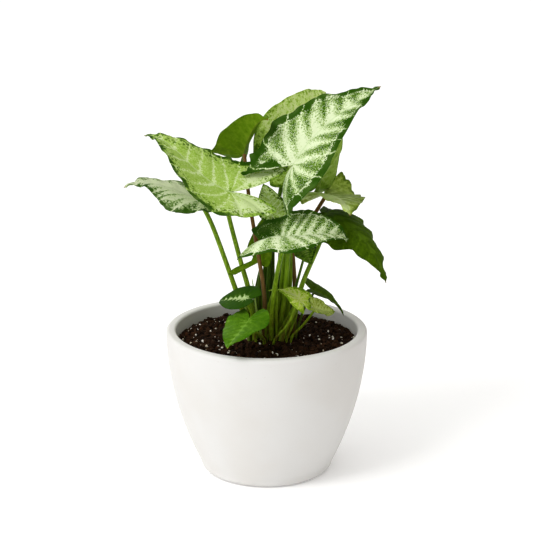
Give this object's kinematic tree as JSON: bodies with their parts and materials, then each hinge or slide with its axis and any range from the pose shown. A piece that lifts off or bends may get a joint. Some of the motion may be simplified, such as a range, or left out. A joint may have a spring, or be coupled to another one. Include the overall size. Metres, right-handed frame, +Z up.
{
  "type": "potted arrowhead plant",
  "caption": "Arrowhead plant with white-veined arrow-shaped leaves on slender stalks, rooted in dark soil in a plain round matte white pot.",
  "frame": {"origin": "centre of the pot's flat foot, on the surface that the pot stands on", "axes": "+Z up along the pot's own axis, +X to the viewer's right in the reference view, +Y away from that viewer"},
  "size_m": [0.2118, 0.2044, 0.3198],
  "materials": {
    "white_ceramic": "matte",
    "potting_mix": "rough",
    "variegated_leaf": "satin",
    "pale_leaf": "satin",
    "light_green_leaf": "satin",
    "dark_green_leaf": "satin",
    "splashed_leaf": "satin",
    "olive_leaf": "satin",
    "green_stalk": "satin",
    "brown_stalk": "satin",
    "pale_sheath": "satin"
  },
  "bodies": {
    "root": {"pot": "white_ceramic", "soil": "potting_mix", "leaf_crown": "variegated_leaf", "leaf_west": "pale_leaf", "leaf_low_west": "pale_leaf", "leaf_north_west": "dark_green_leaf", "leaf_north": "light_green_leaf", "leaf_north_east": "dark_green_leaf", "leaf_east": "pale_leaf", "leaf_low_east": "dark_green_leaf", "leaf_front": "variegated_leaf", "leaf_back": "dark_green_leaf", "leaf_inner": "light_green_leaf", "leaf_under": "olive_leaf", "leaf_splash": "splashed_leaf", "leaf_round": "light_green_leaf", "leaf_lime": "light_green_leaf", "leaf_olive": "olive_leaf", "leaf_dark": "dark_green_leaf", "stalk_crown": "green_stalk", "stalk_west": "green_stalk", "stalk_low_west": "green_stalk", "stalk_north_west": "brown_stalk", "stalk_north": "green_stalk", "stalk_north_east": "green_stalk", "stalk_east": "brown_stalk", "stalk_low_east": "green_stalk", "stalk_front": "green_stalk", "stalk_back": "green_stalk", "stalk_inner": "green_stalk", "stalk_under": "green_stalk", "stalk_splash": "green_stalk", "stalk_round": "green_stalk", "stalk_lime": "green_stalk", "stalk_olive": "green_stalk", "stalk_dark": "green_stalk", "sprout": "green_stalk", "sheath": "pale_sheath"}
  },
  "joints": []
}
